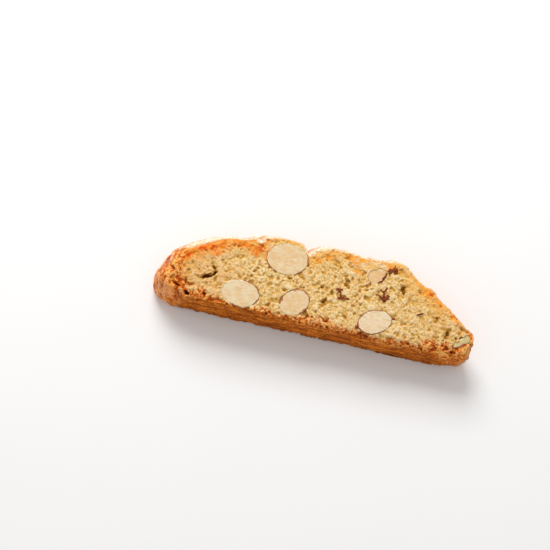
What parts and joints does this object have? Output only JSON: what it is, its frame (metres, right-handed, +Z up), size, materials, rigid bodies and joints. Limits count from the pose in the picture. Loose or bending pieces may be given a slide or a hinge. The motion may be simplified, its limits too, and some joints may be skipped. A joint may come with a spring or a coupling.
{
  "type": "biscotti",
  "caption": "Long bias-cut slice of twice-baked biscuit with a domed crust, an open crumb and whole almonds cut flush with it, lying on its cut side.",
  "frame": {"origin": "centre of the bounding box, on the lower cut face that the slice lies on", "axes": "+X along the slice, +Y from the base crust to the domed top crust, +Z up out of the shown cut face"},
  "size_m": [0.1248, 0.0334, 0.016],
  "materials": {
    "dough": "dry, granular crumb with a toasted brown crust",
    "almond": "smooth cream flesh with a thin brown skin"
  },
  "bodies": {
    "root": {"biscuit": "dough", "almond_1": "almond", "almond_2": "almond", "almond_3": "almond", "almond_4": "almond", "almond_5": "almond", "almond_6": "almond", "almond_7": "almond", "almond_8": "almond"}
  },
  "joints": []
}
